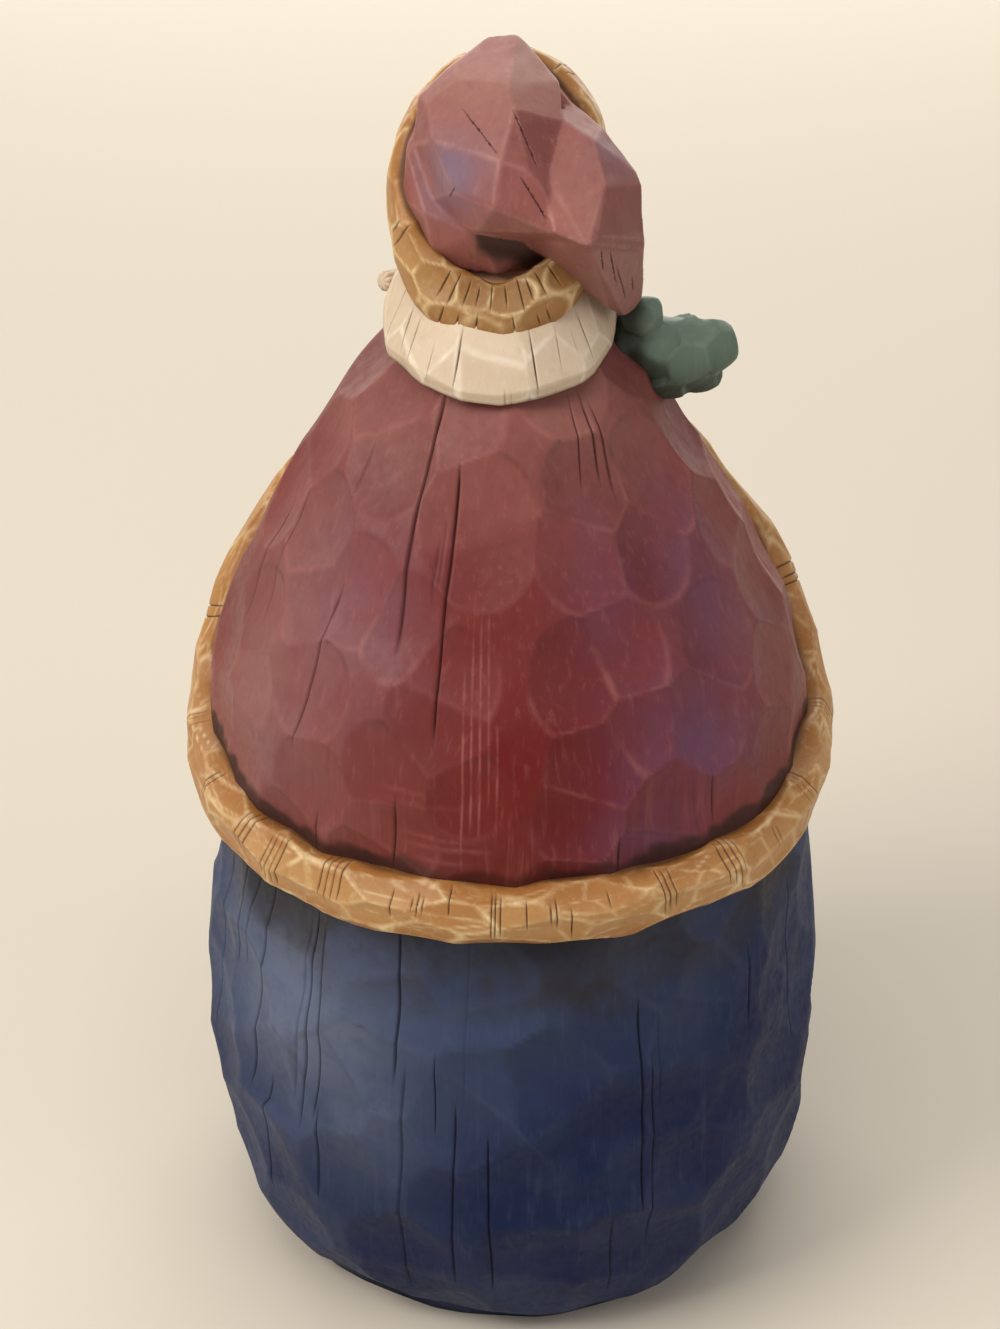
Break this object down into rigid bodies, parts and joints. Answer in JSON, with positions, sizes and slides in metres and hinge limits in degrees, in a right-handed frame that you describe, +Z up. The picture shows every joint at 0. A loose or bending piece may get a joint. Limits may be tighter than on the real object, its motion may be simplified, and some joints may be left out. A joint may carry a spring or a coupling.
{
  "type": "santa figurine",
  "caption": "Round-bellied standing santa figurine, cast in resin with gouge-carved coat and trousers, fur trim, mantle of hair and beard, and a folded cap with a bobble.",
  "frame": {"origin": "middle of the underside, at the height of the surface it stands on", "axes": "+Z up, the face and belly towards -Y, the back towards +Y, the cap's bobble on the figure's right at -X"},
  "size_m": [0.1554, 0.1565, 0.3031],
  "materials": {
    "red_paint": "satin",
    "blue_paint": "satin",
    "gold_paint": "satin",
    "cream_paint": "satin",
    "green_paint": "satin",
    "skin_paint": "satin",
    "brown_paint": "satin"
  },
  "bodies": {
    "root": {"santa_figurine": "red_paint"}
  },
  "joints": []
}
